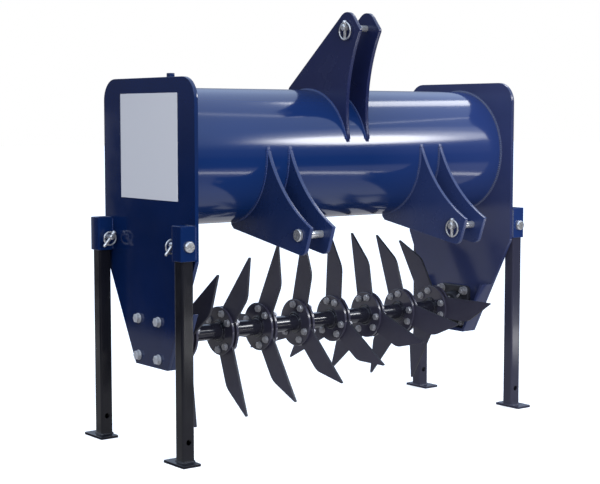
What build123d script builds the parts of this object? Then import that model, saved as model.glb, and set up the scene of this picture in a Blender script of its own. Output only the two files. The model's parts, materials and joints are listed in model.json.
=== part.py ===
from build123d import *
import os
from math import sqrt

# Grassland slitter, millimetres, +Z up, floor at z = 0, tractor side at -Y.
# Left is -X and right is +X, as seen from the front. Outlines are drawn with y
# from the tube axis; Y0 then brings the bounding box centre onto y = 0.

# ballast tube
TUBE_OD = 406.4
TUBE_WALL = 8.0
TUBE_Z = 864.0
COPE_GAP = 0.3

# end plates: straight sides round the tube, tapering to a foot below the rotor, steeper on one side
SPAN = 1270.0
PLATE_T = 12.0
PLATE_MARGIN = 46.8
PLATE_RISE = 27.8
PLATE_CORNER_R = 65.0
TAPER_RISE = 244.0
FOOT_DROP = 83.0
FOOT_STEEP = 77.0
FOOT_GENTLE = 99.0

# guards of flat bar round the bearings, on the feet of the end plates' inner faces
GUARD_DEPTH = 45.0
GUARD_T = 10.0
GUARD_RISE = 88.0

# square flange bearings
BEARING_SQ = 143.0
BEARING_CORNER_R = 18.0
BEARING_BOLTS = 111.0
BEARING_HOLE = 17.0
FLANGE_T = 16.0
HOUSING_WALL = 25.0
HOUSING_L = 40.0
HOUSING_DRAFT = 5.0
COLLAR_WALL = 9.0
COLLAR_L = 55.0
RUN_FIT = 0.05

# rotor: stations of three knives, each clamped between two discs
ROTOR_Y = 3.0
ROTOR_Z = 328.0
SHAFT_D = 50.0
SHAFT_CLEAR = 4.0
STATION_END = 53.5
STATION_SHIFT = -5.0
DISC_R = 75.0
DISC_T = 8.0
HUB_WALL = 8.0
HUB_PROUD = 3.0
BLADE_T = 8.0
BLADES = 3
# turn of each station from upright, as they step round the shaft
TURNS = (52.6, 40.0, 27.2, 13.8, 3.4, -9.6, -19.0, -30.4)
ROOT_R = 40.0
KNEE_R = 172.0
KNEE_ROUND = 60.0
TIP_R = 276.0
TIP_FLAT = 4.0
BLADE_TRAIL = 40.0
BLADE_LEAD = 33.0

# hitch plates and pins
LUG_T = 12.0
LOWER_X = 304.5
LOWER_GAP = 69.0
LOWER_PIN_D = 22.0
LOWER_PIN_Y = -358.0
LOWER_PIN_DROP = 16.8
LUG_NOSE = 52.0
LUG_NOSE_UP = 23.0
LUG_CHIN = 22.0
LUG_CHIN_DOWN = 61.0
LUG_CHIN_R = 24.0
LUG_TOE_Y = -18.0
LUG_TOE_DROP = 6.0
LUG_TOE_BEVEL = 12.0
LUG_RISE = 31.0
LUG_SAG = 29.0
TOP_GAP = 66.0
TOP_PIN_D = 19.0
TOP_PIN_Y = -198.0
TOP_PIN_UP = 184.8
MAST_APEX = 5.0
MAST_APEX_UP = 63.0
MAST_APEX_R = 38.0
MAST_NOSE = 61.0
MAST_NOSE_DOWN = 7.0
MAST_NOSE_R = 10.0
MAST_HEEL_Y = 94.0
MAST_HEEL_UP = 30.0
MAST_TOE_UP = 42.0
MAST_TOE_T = 1.0
MAST_SAG = 29.0
PIN_FIT = 0.15
PIN_LIP = 7.0
PIN_HEAD_T = 9.0
PIN_TAIL = 18.0
LINCH_AT = 7.0
LINCH_D = 9.5
LINCH_STEM = 50.0
LINCH_RING = 56.0
LINCH_WIRE = 4.6
LINCH_EYE = 12.0

# parking legs
LEG = 40.0
LEG_WALL = 4.0
LEG_R = 6.0
FOOT_X = 60.0
FOOT_Y = 105.0
FOOT_T = 8.0
FOOT_CLEAR = 5.0
SOCKET_WALL = 4.5
SOCKET_R = 5.0
SLIDE_FIT = 0.5
SOCKET_PROUD = 3.5
SOCKET_Z = 578.0
SOCKET_H = 100.0
LEG_INSET = 6.0
LEG_PIN_D = 16.0
LEG_PIN_UP = 42.0
LEG_PIN_HEAD = 32.0
LEG_PIN_HEAD_T = 12.0
LEG_PIN_TAIL = 42.0
LEG_LINCH_AT = 31.0
LEG_RAISED_Z = 65.0
LEG_HOLE = 17.0
LEG_RING = 44.0

# filler boss and plug
FILLER_INSET = 70.0
FILLER_BORE = 28.0
FILLER_WALL = 9.0
FILLER_RISE = 19.0
PLUG_FLANGE = 38.0
PLUG_FLANGE_T = 6.0
PLUG_SQ = 18.0
PLUG_H = 18.0

# places that follow from the sizes above
TUBE_R = TUBE_OD / 2
COPE_R = TUBE_R + COPE_GAP
TUBE_TOP = TUBE_Z + TUBE_R
TUBE_BOTTOM = TUBE_Z - TUBE_R
LOWER_PIN_Z = TUBE_BOTTOM - LOWER_PIN_DROP
TOP_PIN_Z = TUBE_TOP + TOP_PIN_UP
PLATE_OUT = SPAN / 2
PLATE_IN = PLATE_OUT - PLATE_T
PLATE_HALF = TUBE_R + PLATE_MARGIN
PLATE_TOP = TUBE_TOP + PLATE_RISE
TAPER_Z = ROTOR_Z + TAPER_RISE
FOOT_Z = ROTOR_Z - FOOT_DROP
GUARD_TOP = ROTOR_Z + GUARD_RISE
SHAFT_END = PLATE_IN - SHAFT_CLEAR
STATION_MAX = PLATE_IN - COLLAR_L - STATION_END
PITCH = 2 * STATION_MAX / (len(TURNS) - 1)
LEG_GUIDE = LEG + 2 * SLIDE_FIT
SOCKET = LEG_GUIDE + 2 * SOCKET_WALL
LEG_X = PLATE_OUT + SOCKET / 2
LEG_Y = PLATE_HALF - SOCKET / 2 + SOCKET_PROUD
LEG_TOP = SOCKET_Z + SOCKET_H - LEG_INSET
LEG_PIN_Z = SOCKET_Z + LEG_PIN_UP
FILLER_X = FILLER_INSET - PLATE_IN
Y0 = (LUG_NOSE - LOWER_PIN_Y - LEG_Y - FOOT_Y / 2) / 2

SIDES = (("left", -1), ("right", 1))
ENDS = (("front", -1), ("rear", 1))
os.makedirs("parts", exist_ok=True)


def save(name, *solids):
    """One node: the solids, moved into the row frame and written as a file."""
    placed = [Pos(0, Y0, 0) * solid for solid in solids]
    shape = placed[0] if len(placed) == 1 else Compound(children=placed)
    export_step(shape, f"parts/{name}.step")


def slab(face, x_a, x_b):
    """A face drawn in (y, z), carried along X from one plane to another."""
    low = min(x_a, x_b)
    return extrude(Plane((low, 0, 0), x_dir=(0, 1, 0), z_dir=(1, 0, 0)) * face, abs(x_b - x_a))


def rod(d, x_a, x_b, y, z):
    """A round bar along X between two planes."""
    return slab(Pos(y, z) * Circle(d / 2), x_a, x_b)


def square_holes(spacing, hole):
    """Four holes on a square."""
    return Sketch() + GridLocations(spacing, spacing, 2, 2) * Circle(hole / 2)


def bowed(start, end, sag):
    """An arc from start to end whose middle stands sag to the right of its chord."""
    along = Vector(*end) - Vector(*start)
    side = Vector(along.Y, -along.X).normalized()
    middle = (Vector(*start) + Vector(*end)) / 2 + side * sag
    return ThreePointArc(start, (middle.X, middle.Y), end)


def edge_y(sx, sy, z):
    """Tapered edge of an end plate at a height; both plates are one profile, turned end for end."""
    foot = FOOT_STEEP if sx * sy < 0 else FOOT_GENTLE
    share = (z - FOOT_Z) / (TAPER_Z - FOOT_Z)
    return sy * (foot + share * (PLATE_HALF - foot))


def foot_corners(sx, top_z):
    """The tapered outline below a height, from the +y edge round the foot to the -y edge."""
    return [(edge_y(sx, sy, z), z) for sy, z in ((1, top_z), (1, FOOT_Z), (-1, FOOT_Z), (-1, top_z))]


def end_plate_face(sx):
    """Straight sides round the tube, taper to the foot, round top corners."""
    shoulders = [(-PLATE_HALF, PLATE_TOP), (PLATE_HALF, PLATE_TOP)]
    face = make_face(Polyline(*shoulders, *foot_corners(sx, TAPER_Z), close=True))
    return fillet(face.vertices().group_by(Axis.Y)[-1], PLATE_CORNER_R)


def guard_face(sx):
    """Flat bar down one edge of the plate's foot, under it and up the other, open above the bearing."""
    foot = make_face(Polyline(*foot_corners(sx, GUARD_TOP), close=True))
    taller = make_face(Polyline(*foot_corners(sx, GUARD_TOP + 2 * GUARD_T), close=True))
    return foot - offset(taller, amount=-GUARD_T, kind=Kind.INTERSECTION)


def bearing(sx):
    """Square flange on the end plate, drafted housing and plain collar, bored for the shaft."""
    flange = RectangleRounded(BEARING_SQ, BEARING_SQ, BEARING_CORNER_R)
    flange -= square_holes(BEARING_BOLTS, BEARING_HOLE)
    collar_r = SHAFT_D / 2 + COLLAR_WALL
    housing_r = SHAFT_D / 2 + HOUSING_WALL
    tip_r = housing_r - HOUSING_DRAFT
    profile = Polyline(
        (FLANGE_T / 2, 0), (FLANGE_T / 2, housing_r), (FLANGE_T, housing_r), (HOUSING_L, tip_r),
        (HOUSING_L, collar_r), (COLLAR_L, collar_r), (COLLAR_L, 0), close=True)
    body = revolve(make_face(profile), Axis.X)
    body += slab(flange, 0, FLANGE_T)
    body -= slab(Circle(SHAFT_D / 2 + RUN_FIT), 0, COLLAR_L)
    turn = Rot(0, 0, 0) if sx < 0 else Rot(0, 0, 180)
    return Pos(sx * PLATE_IN, ROTOR_Y, ROTOR_Z) * turn * body


def lower_plate_face():
    """Lower link plate: bevelled toe under the tube, round chin, bowed front edge, coped top."""
    pin = (LOWER_PIN_Y, LOWER_PIN_Z)
    toe_z = TUBE_BOTTOM - LUG_TOE_DROP
    toe = (LUG_TOE_Y, toe_z)
    heel = (LUG_TOE_Y - LUG_TOE_BEVEL, toe_z - LUG_TOE_BEVEL)
    chin = (LOWER_PIN_Y - LUG_CHIN, LOWER_PIN_Z - LUG_CHIN_DOWN)
    nose = (LOWER_PIN_Y - LUG_NOSE, LOWER_PIN_Z + LUG_NOSE_UP)
    top = (-sqrt(TUBE_R**2 - LUG_RISE**2), TUBE_Z + LUG_RISE)
    edge = Polyline(top, (0, TUBE_Z), toe, heel, chin, nose) + bowed(nose, top, LUG_SAG)
    face = make_face(edge) - Pos(0, TUBE_Z) * Circle(COPE_R)
    face = fillet(face.vertices().sort_by(Axis.Y)[0], LUG_CHIN_R)
    return face - Pos(*pin) * Circle(LOWER_PIN_D / 2 + PIN_FIT)


def top_plate_face():
    """Top link plate: heel on the tube, sloping back, round apex, bowed front edge, coped foot."""
    pin = (TOP_PIN_Y, TOP_PIN_Z)
    heel = (MAST_HEEL_Y, TUBE_Z + sqrt(TUBE_R**2 - MAST_HEEL_Y**2) + MAST_HEEL_UP)
    apex = (TOP_PIN_Y - MAST_APEX, TOP_PIN_Z + MAST_APEX_UP)
    nose = (TOP_PIN_Y - MAST_NOSE, TOP_PIN_Z - MAST_NOSE_DOWN)
    toe = (-TUBE_R - MAST_TOE_T, TUBE_Z + MAST_TOE_UP)
    edge = Polyline(toe, (0, toe[1]), (MAST_HEEL_Y, TUBE_Z + MAST_TOE_UP), heel, apex, nose)
    edge += bowed(nose, toe, -MAST_SAG)
    face = make_face(edge) - Pos(0, TUBE_Z) * Circle(COPE_R)
    face = fillet(face.vertices().sort_by(Axis.Y)[-1], MAST_APEX_R)
    face = fillet(face.vertices().sort_by(Axis.X)[0], MAST_NOSE_R)
    return face - Pos(*pin) * Circle(TOP_PIN_D / 2 + PIN_FIT)


def hitch_pin(d, x_mid, gap, y, z, sx):
    """Clevis pin along X: head on the side sx, cross-drilled tail on the other."""
    reach = gap / 2 + LUG_T
    pin = rod(d, x_mid - sx * (reach + PIN_TAIL), x_mid + sx * (reach + PIN_HEAD_T / 2), y, z)
    pin += rod(d + 2 * PIN_LIP, x_mid + sx * reach, x_mid + sx * (reach + PIN_HEAD_T), y, z)
    pin -= Pos(x_mid - sx * (reach + LINCH_AT), y, z) * Cylinder(LINCH_D / 2 + PIN_FIT, 2 * d)
    return pin


def linch(x, y, z, d, turn, ring):
    """Linch pin: stem through the tail of a pin of diameter d, eye resting on it, wire ring round it."""
    mean = (ring - LINCH_WIRE) / 2
    drop = mean - LINCH_EYE / 2 - d / 2 - PIN_FIT
    stem = Pos(0, 0, mean - LINCH_STEM / 2) * Cylinder(LINCH_D / 2, LINCH_STEM)
    eye = Pos(0, 0, mean) * Box(LINCH_EYE, LINCH_EYE, LINCH_EYE)
    wire = Pos(mean, 0) * RegularPolygon(LINCH_WIRE / 2, 6)
    loop = Rot(90, 0, 90) * revolve(wire, Axis.Y)
    return Pos(x, y, z - drop) * Rot(0, 0, turn) * (stem + eye + loop)


def across(d, length, y, z):
    """A round bar along Y, centred at (y, z)."""
    return Pos(0, y, z) * Rot(90, 0, 0) * Cylinder(d / 2, length)


def leg_pin(sy):
    """Lock pin as its two ends, each held in a socket wall: headed outside, drilled inside."""
    guide = LEG_GUIDE / 2
    face = SOCKET / 2
    head_l = SOCKET_WALL + LEG_PIN_HEAD_T / 2
    head = across(LEG_PIN_D, head_l, sy * (guide + head_l / 2), LEG_PIN_Z)
    head += across(LEG_PIN_HEAD, LEG_PIN_HEAD_T, sy * (face + LEG_PIN_HEAD_T / 2), LEG_PIN_Z)
    tail_l = SOCKET_WALL + LEG_PIN_TAIL
    tail = across(LEG_PIN_D, tail_l, -sy * (guide + tail_l / 2), LEG_PIN_Z)
    tail -= Pos(0, -sy * (face + LEG_LINCH_AT), LEG_PIN_Z) * Cylinder(LINCH_D / 2 + PIN_FIT, 2 * LEG_PIN_D)
    return head, tail


def knife_face():
    """Knife pointing up: straight trailing edge at +y, leading edge cut back from a rounded knee."""
    points = [
        (-BLADE_LEAD, ROOT_R), (BLADE_TRAIL, ROOT_R), (BLADE_TRAIL, TIP_R), (BLADE_TRAIL - TIP_FLAT, TIP_R),
        (-BLADE_LEAD, KNEE_R)]
    face = make_face(Polyline(*points, close=True))
    knee = face.vertices().sort_by_distance((-BLADE_LEAD, KNEE_R))[0]
    return fillet(knee, KNEE_ROUND)


# ballast tube, open into the filler boss
tube_ring = Circle(TUBE_R) - Circle(TUBE_R - TUBE_WALL)
filler_bore = Pos(FILLER_X, 0, TUBE_TOP) * Cylinder(FILLER_BORE / 2, 4 * (FILLER_RISE + TUBE_WALL))
save("ballast_tube", slab(Pos(0, TUBE_Z) * tube_ring, -PLATE_IN, PLATE_IN) - filler_bore)

# filler boss saddled on the tube, and its square-headed plug
boss = Pos(FILLER_X, 0, TUBE_TOP) * Cylinder(FILLER_BORE / 2 + FILLER_WALL, 2 * FILLER_RISE)
save("filler_boss", boss - filler_bore - rod(2 * COPE_R, -PLATE_IN, PLATE_IN, 0, TUBE_Z))
rim = Pos(FILLER_X, 0, TUBE_TOP + FILLER_RISE)
plug = rim * Pos(0, 0, -FILLER_RISE / 2) * Cylinder(FILLER_BORE / 2 - PIN_FIT, FILLER_RISE)
plug += rim * Pos(0, 0, PLUG_FLANGE_T / 2) * Cylinder(PLUG_FLANGE / 2, PLUG_FLANGE_T)
plug += rim * Pos(0, 0, PLUG_FLANGE_T + PLUG_H / 2) * Box(PLUG_SQ, PLUG_SQ, PLUG_H)
save("filler_plug", plug)

# end plates, bearing guards and flange bearings
bearing_holes = Pos(ROTOR_Y, ROTOR_Z) * square_holes(BEARING_BOLTS, BEARING_HOLE)
for side, sx in SIDES:
    save(f"end_plate_{side}", slab(end_plate_face(sx) - bearing_holes, sx * PLATE_IN, sx * PLATE_OUT))
    save(f"bearing_block_{side}", slab(guard_face(sx), sx * (PLATE_IN - GUARD_DEPTH), sx * PLATE_IN))
    save(f"bearing_{side}", bearing(sx))

# hitch plates, pins and linch pins
for side, sx in SIDES:
    for place, step in (("outer", sx), ("inner", -sx)):
        near = sx * LOWER_X + step * LOWER_GAP / 2
        save(f"lower_link_plate_{side}_{place}", slab(lower_plate_face(), near, near + step * LUG_T))
    save(f"top_link_plate_{side}", slab(top_plate_face(), sx * TOP_GAP / 2, sx * (TOP_GAP / 2 + LUG_T)))
# name, pin diameter, middle along X, gap between the plates, y, z, side of the head
HITCH_PINS = (
    ("top_link_pin", TOP_PIN_D, 0.0, TOP_GAP, TOP_PIN_Y, TOP_PIN_Z, 1),
    ("lower_link_pin_left", LOWER_PIN_D, -LOWER_X, LOWER_GAP, LOWER_PIN_Y, LOWER_PIN_Z, -1),
    ("lower_link_pin_right", LOWER_PIN_D, LOWER_X, LOWER_GAP, LOWER_PIN_Y, LOWER_PIN_Z, 1),
)
linches = []
for name, d, x_mid, gap, y, z, sx in HITCH_PINS:
    save(name, hitch_pin(d, x_mid, gap, y, z, sx))
    linches.append(linch(x_mid - sx * (gap / 2 + LUG_T + LINCH_AT), y, z, d, 0, LINCH_RING))

# parking legs: socket on the end plate, lock pin, box leg and foot
socket_face = RectangleRounded(SOCKET, SOCKET, SOCKET_R) - RectangleRounded(LEG_GUIDE, LEG_GUIDE, SOCKET_R / 2)
bore = LEG - 2 * LEG_WALL
leg_face = RectangleRounded(LEG, LEG, LEG_R) - RectangleRounded(bore, bore, LEG_R - LEG_WALL)
for side, sx in SIDES:
    for end, sy in ENDS:
        tag = f"{end}_{side}"
        here = Pos(sx * LEG_X, sy * LEG_Y, 0)
        socket = Pos(0, 0, SOCKET_Z) * extrude(socket_face, SOCKET_H)
        save(f"leg_socket_{tag}", here * (socket - across(LEG_PIN_D + 2 * PIN_FIT, 2 * SOCKET, 0, LEG_PIN_Z)))
        save(f"leg_pin_{tag}", *[here * half for half in leg_pin(sy)])
        linch_y = sy * (LEG_Y - SOCKET / 2 - LEG_LINCH_AT)
        linches.append(linch(sx * LEG_X, linch_y, LEG_PIN_Z, LEG_PIN_D, 90, LEG_RING))
        leg = Pos(0, 0, FOOT_T) * extrude(leg_face, LEG_TOP - FOOT_T)
        for z in (LEG_PIN_Z, LEG_RAISED_Z):
            leg -= across(LEG_HOLE, 2 * LEG, 0, z)
        save(f"leg_tube_{tag}", here * leg)
        foot_x = sx * (PLATE_OUT + FOOT_CLEAR + FOOT_X / 2)
        save(f"leg_foot_{tag}", Pos(foot_x, sy * LEG_Y, FOOT_T / 2) * Box(FOOT_X, FOOT_Y, FOOT_T))
save("linch_pins", *linches)

# rotor: shaft with hubs and paired discs, and the knives clamped between them
axle = Pos(ROTOR_Y, ROTOR_Z)
shaft = slab(axle * Circle(SHAFT_D / 2), -SHAFT_END, SHAFT_END)
hub_half = BLADE_T / 2 + DISC_T + HUB_PROUD
for i, phase in enumerate(TURNS):
    x = i * PITCH - STATION_MAX + STATION_SHIFT
    shaft += slab(axle * Circle(SHAFT_D / 2 + HUB_WALL), x - hub_half, x + hub_half)
    for s in (-1, 1):
        shaft += slab(axle * Circle(DISC_R), x + s * BLADE_T / 2, x + s * (BLADE_T / 2 + DISC_T))
    turns = [axle * Rot(0, 0, phase + 360 / BLADES * k) for k in range(BLADES)]
    knives = [slab(turn * knife_face(), x - BLADE_T / 2, x + BLADE_T / 2) for turn in turns]
    save(f"blade_set_{i + 1}", *knives)
save("rotor_shaft", shaft)
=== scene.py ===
"""Looks of the grassland slitter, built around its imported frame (metres, +Z up, tractor side at -Y)."""
import json
import math

import bpy
import numpy as np
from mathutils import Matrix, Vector


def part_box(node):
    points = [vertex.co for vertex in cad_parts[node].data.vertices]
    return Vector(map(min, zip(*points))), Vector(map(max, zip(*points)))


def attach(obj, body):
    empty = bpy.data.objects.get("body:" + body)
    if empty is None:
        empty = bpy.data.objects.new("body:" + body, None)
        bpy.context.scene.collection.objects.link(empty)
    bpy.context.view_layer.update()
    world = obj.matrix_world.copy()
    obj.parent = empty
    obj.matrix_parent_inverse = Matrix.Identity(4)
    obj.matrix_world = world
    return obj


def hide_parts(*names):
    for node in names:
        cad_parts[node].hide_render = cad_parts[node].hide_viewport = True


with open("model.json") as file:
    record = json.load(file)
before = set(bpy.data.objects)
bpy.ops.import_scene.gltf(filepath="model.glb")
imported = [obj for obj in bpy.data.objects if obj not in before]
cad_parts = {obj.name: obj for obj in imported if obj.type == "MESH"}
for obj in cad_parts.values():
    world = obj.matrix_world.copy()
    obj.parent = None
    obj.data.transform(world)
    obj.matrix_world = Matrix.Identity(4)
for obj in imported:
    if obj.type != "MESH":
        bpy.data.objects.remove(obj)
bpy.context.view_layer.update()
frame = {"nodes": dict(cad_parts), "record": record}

# the photograph's camera, as found by fitting known points
CAMERA_AT = (-2.8121, -3.47975, 0.9794)
CAMERA_AZIMUTH = 37.714
CAMERA_DOWN = 5.033
CAMERA_LENS = 84.76
SENSOR = 36.0


def extent(node):
    """A node's lowest and highest corners at rest, as arrays."""
    return [np.array(c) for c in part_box(node)]


def pin_axis(node):
    """The (y, z) of a cross pin: the middle of its box."""
    low, high = extent(node)
    return (low[1:] + high[1:]) / 2


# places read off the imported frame
TUBE_LOW, TUBE_HIGH = extent("ballast_tube")
TUBE_Y, TUBE_Z = (TUBE_LOW[1:] + TUBE_HIGH[1:]) / 2
TUBE_R = (TUBE_HIGH[2] - TUBE_LOW[2]) / 2
PLATE_IN = TUBE_HIGH[0]
PLATE_LOW, PLATE_HIGH = extent("end_plate_right")
PLATE_OUT = PLATE_HIGH[0]
SHAFT_LOW, SHAFT_HIGH = extent("rotor_shaft")
ROTOR_Y, ROTOR_Z = (SHAFT_LOW[1:] + SHAFT_HIGH[1:]) / 2
DISC_R = (SHAFT_HIGH[2] - SHAFT_LOW[2]) / 2
GUARD_LOW, GUARD_HIGH = extent("bearing_block_right")
LOWER_PIN = pin_axis("lower_link_pin_left")
TOP_PIN = pin_axis("top_link_pin")

# shared sizes that the boxes don't give, and the places that repeat
EDGE = 0.0009
SHARP = 40.0
COPE_GAP = 0.0003
COPE_R = TUBE_R + COPE_GAP
COPE_STEPS = 40
SIDES = (("left", -1), ("right", 1))
ENDS = (("front", -1), ("rear", 1))
CORNER_SIGNS = ((-1, -1), (1, -1), (1, 1), (-1, 1))


# surfaces
def skin(rings, closed=False):
    """A stack of closed rings joined by quads; the end rings get flat caps, or the last joins the first."""
    n, m = rings.shape[:2]
    row = np.arange(n if closed else n - 1)[:, None] * m
    up = (row + m) % (n * m)
    col = np.arange(m)[None]
    nxt = (col + 1) % m
    faces = np.stack([row + col, row + nxt, up + nxt, up + col], -1).reshape(-1, 4).tolist()
    if not closed:
        faces += [list(range(m))[::-1], list(range((n - 1) * m, n * m))]
    return rings.reshape(-1, 3), faces


def outward(shell):
    """The shell with its faces turned outwards: its signed volume, summed over fans, is made positive."""
    verts, faces = shell
    quads = np.array([f for f in faces if len(f) == 4])
    fans = [(f[0], f[k], f[k + 1]) for f in faces if len(f) != 4 for k in range(1, len(f) - 1)]
    tris = np.concatenate([quads[:, [0, 1, 2]], quads[:, [0, 2, 3]], np.array(fans, int).reshape(-1, 3)])
    a, b, c = (verts[tris[:, k]] for k in range(3))
    if np.einsum("ij,ij->", a, np.cross(b, c)) < 0:
        faces = [f[::-1] for f in faces]
    return verts, faces


def repeated(shell, offsets):
    """Copies of one shell, moved by each offset."""
    verts, faces = shell
    offsets = np.atleast_2d(offsets)
    moved = (verts[None] + offsets[:, None]).reshape(-1, 3)
    return moved, [[v + k * len(verts) for v in f] for k in range(len(offsets)) for f in faces]


def joined(shells):
    """Several shells in one list of points and faces."""
    starts = np.cumsum([0] + [len(v) for v, _ in shells])
    return (np.concatenate([v for v, _ in shells]),
            [[i + int(s) for i in f] for (_, faces), s in zip(shells, starts) for f in faces])


def turned(profile, axis="x", sides=48, closed=False):
    """A profile of (along, radius) rows spun about an axis through the origin."""
    along, radius = np.array(profile, float).T
    angle = np.linspace(0, 2 * math.pi, sides, endpoint=False)
    line = np.broadcast_to(along[:, None], (len(along), sides))
    p, q = radius[:, None] * np.cos(angle), radius[:, None] * np.sin(angle)
    order = {"x": (line, p, q), "y": (q, line, p), "z": (p, q, line)}[axis]
    return outward(skin(np.stack(order, -1), closed))


def plate(outline, x_a, x_b, edge=EDGE, steps=4, axis="x"):
    """A flat outline carried along an axis from x_a to x_b, each rim rounded by a quarter circle."""
    ahead, behind = np.roll(outline, -1, 0) - outline, outline - np.roll(outline, 1, 0)
    ahead, behind = (v / np.linalg.norm(v, axis=1, keepdims=True) for v in (ahead, behind))
    turn = np.sign(np.sum(np.cross(behind, ahead)))
    normal = (ahead + behind)[:, ::-1] * (turn, -turn)
    normal /= np.sum(normal * (behind[:, ::-1] * (turn, -turn)), 1, keepdims=True)
    t = np.linspace(0, math.pi / 2, steps)
    inset = np.concatenate([edge * (1 - np.sin(t)), edge * (1 - np.cos(t))])
    depth = np.concatenate([edge * (1 - np.cos(t)), abs(x_b - x_a) - edge * (1 - np.sin(t))])
    flat = outline[None] - inset[:, None, None] * normal[None]
    along = np.broadcast_to((min(x_a, x_b) + depth)[:, None, None], (*flat.shape[:2], 1))
    return outward(skin(np.concatenate([along, flat] if axis == "x" else [flat, along], -1)))


def swept(path, radius, sides=8, closed=False):
    """A round bar along a path: circles of the given radius (one, or one per point) across its tangent."""
    tangent = np.roll(path, -1, 0) - np.roll(path, 1, 0)
    if not closed:
        tangent[0], tangent[-1] = path[1] - path[0], path[-1] - path[-2]
    tangent /= np.linalg.norm(tangent, axis=1, keepdims=True)
    spread = np.ptp(path, axis=0)
    side = np.cross(tangent, np.eye(3)[np.argmin(spread)])
    side /= np.linalg.norm(side, axis=1, keepdims=True)
    other = np.cross(tangent, side)
    angle = np.linspace(0, 2 * math.pi, sides, endpoint=False)[None, :, None]
    r = np.broadcast_to(radius, len(path))[:, None, None]
    ring = path[:, None] + r * (np.cos(angle) * side[:, None] + np.sin(angle) * other[:, None])
    return outward(skin(ring, closed))


def corner(before, at, after, radius, steps=10):
    """The arc of a radius that rounds off the corner at a point between two straight runs."""
    before, at, after = (np.array(p, float) for p in (before, at, after))
    u = (before - at) / np.linalg.norm(before - at)
    v = (after - at) / np.linalg.norm(after - at)
    half = math.acos(np.clip(u @ v, -1, 1)) / 2
    centre = at + (u + v) / np.linalg.norm(u + v) * radius / math.sin(half)
    start, end = at + u * radius / math.tan(half) - centre, at + v * radius / math.tan(half) - centre
    sweep = math.pi - 2 * half
    s = np.linspace(0, 1, steps)[:, None]
    return centre + (np.sin((1 - s) * sweep) * start + np.sin(s * sweep) * end) / math.sin(sweep)


def bow(start, end, sag, steps=28):
    """An arc from start to end whose middle stands sag to the right of its chord."""
    start, end = np.array(start, float), np.array(end, float)
    chord = end - start
    length = np.linalg.norm(chord)
    right = np.array([chord[1], -chord[0]]) / length
    radius = (length**2 / 4 + sag**2) / (2 * abs(sag))
    centre = (start + end) / 2 + right * (sag - math.copysign(radius, sag))
    half = math.asin(length / 2 / radius)
    angle = np.linspace(-half, half, steps)[:, None]
    across = np.cos(angle) * right * math.copysign(1, sag)
    return centre + radius * (np.sin(angle) * chord / length + across)


def rounded(points, radii):
    """A closed outline from corner points, each rounded by its own radius."""
    n = len(points)
    arcs = [corner(points[i - 1], points[i], points[(i + 1) % n], radii[i]) for i in range(n)]
    return np.concatenate(arcs)


# finishes: noise scales are in waves per metre, relief depths in metres
DRIFT_SCALE = 6.0
CLOUD_SCALE = 14.0
PEEL_SCALE = 240.0
PEEL_DEPTH = 0.001
# where the painted light along +X begins and where it is at full strength, in metres of x
PAINTED_LIGHT_FROM = 0.05
PAINTED_LIGHT_TO = 0.60
TINT_SCALE = 90.0
POLISH_SCALE = 160.0
GRAIN_SCALE = 700.0
GRAIN_DEPTH = 0.0005


def shader_of(name):
    """A new material with its node tree, principled shader and object coordinates."""
    mat = bpy.data.materials.new(name)
    mat.use_nodes = True
    tree = mat.node_tree
    coords = tree.nodes.new("ShaderNodeTexCoord").outputs["Object"]
    return mat, tree, tree.nodes["Principled BSDF"], coords


def noise(tree, coords, scale, stretch=(1, 1, 1), detail=3.0):
    """Noise on object coordinates, stretched along the axes."""
    mapping = tree.nodes.new("ShaderNodeMapping")
    mapping.inputs["Scale"].default_value = stretch
    tree.links.new(coords, mapping.inputs["Vector"])
    tex = tree.nodes.new("ShaderNodeTexNoise")
    tex.inputs["Scale"].default_value = scale
    tex.inputs["Detail"].default_value = detail
    tree.links.new(mapping.outputs["Vector"], tex.inputs["Vector"])
    return tex.outputs["Fac"]


def grey(level):
    """A neutral colour."""
    return (level, level, level)


def ramp(tree, value, stops):
    """A value turned into colours or greys by (place, colour) stops."""
    node = tree.nodes.new("ShaderNodeValToRGB")
    while len(node.color_ramp.elements) < len(stops):
        node.color_ramp.elements.new(0.5)
    for element, (place, color) in zip(node.color_ramp.elements, stops):
        element.position = place
        element.color = (*color, 1)
    tree.links.new(value, node.inputs["Fac"])
    return node.outputs["Color"]


def bumped(tree, shader, height, strength, distance):
    """Relief from a height value."""
    bump = tree.nodes.new("ShaderNodeBump")
    bump.inputs["Strength"].default_value = strength
    bump.inputs["Distance"].default_value = distance
    tree.links.new(height, bump.inputs["Height"])
    tree.links.new(bump.outputs["Normal"], shader.inputs["Normal"])


def paint_light_along_x(tree, coords, color, painted_light):
    """Painted light: a colour that grows into a paler one along +X, mixed by a ramp of the x coordinate, so
    the right-hand parts look more strongly lit.
    """
    split = tree.nodes.new("ShaderNodeSeparateXYZ")
    tree.links.new(coords, split.inputs["Vector"])
    share = ramp(tree, split.outputs["X"], [(PAINTED_LIGHT_FROM, grey(0.0)), (PAINTED_LIGHT_TO, grey(1.0))])
    mix = tree.nodes.new("ShaderNodeMixRGB")
    tree.links.new(share, mix.inputs["Fac"])
    tree.links.new(color, mix.inputs["Color1"])
    mix.inputs["Color2"].default_value = (*painted_light, 1)
    return mix.outputs["Color"]


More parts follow.
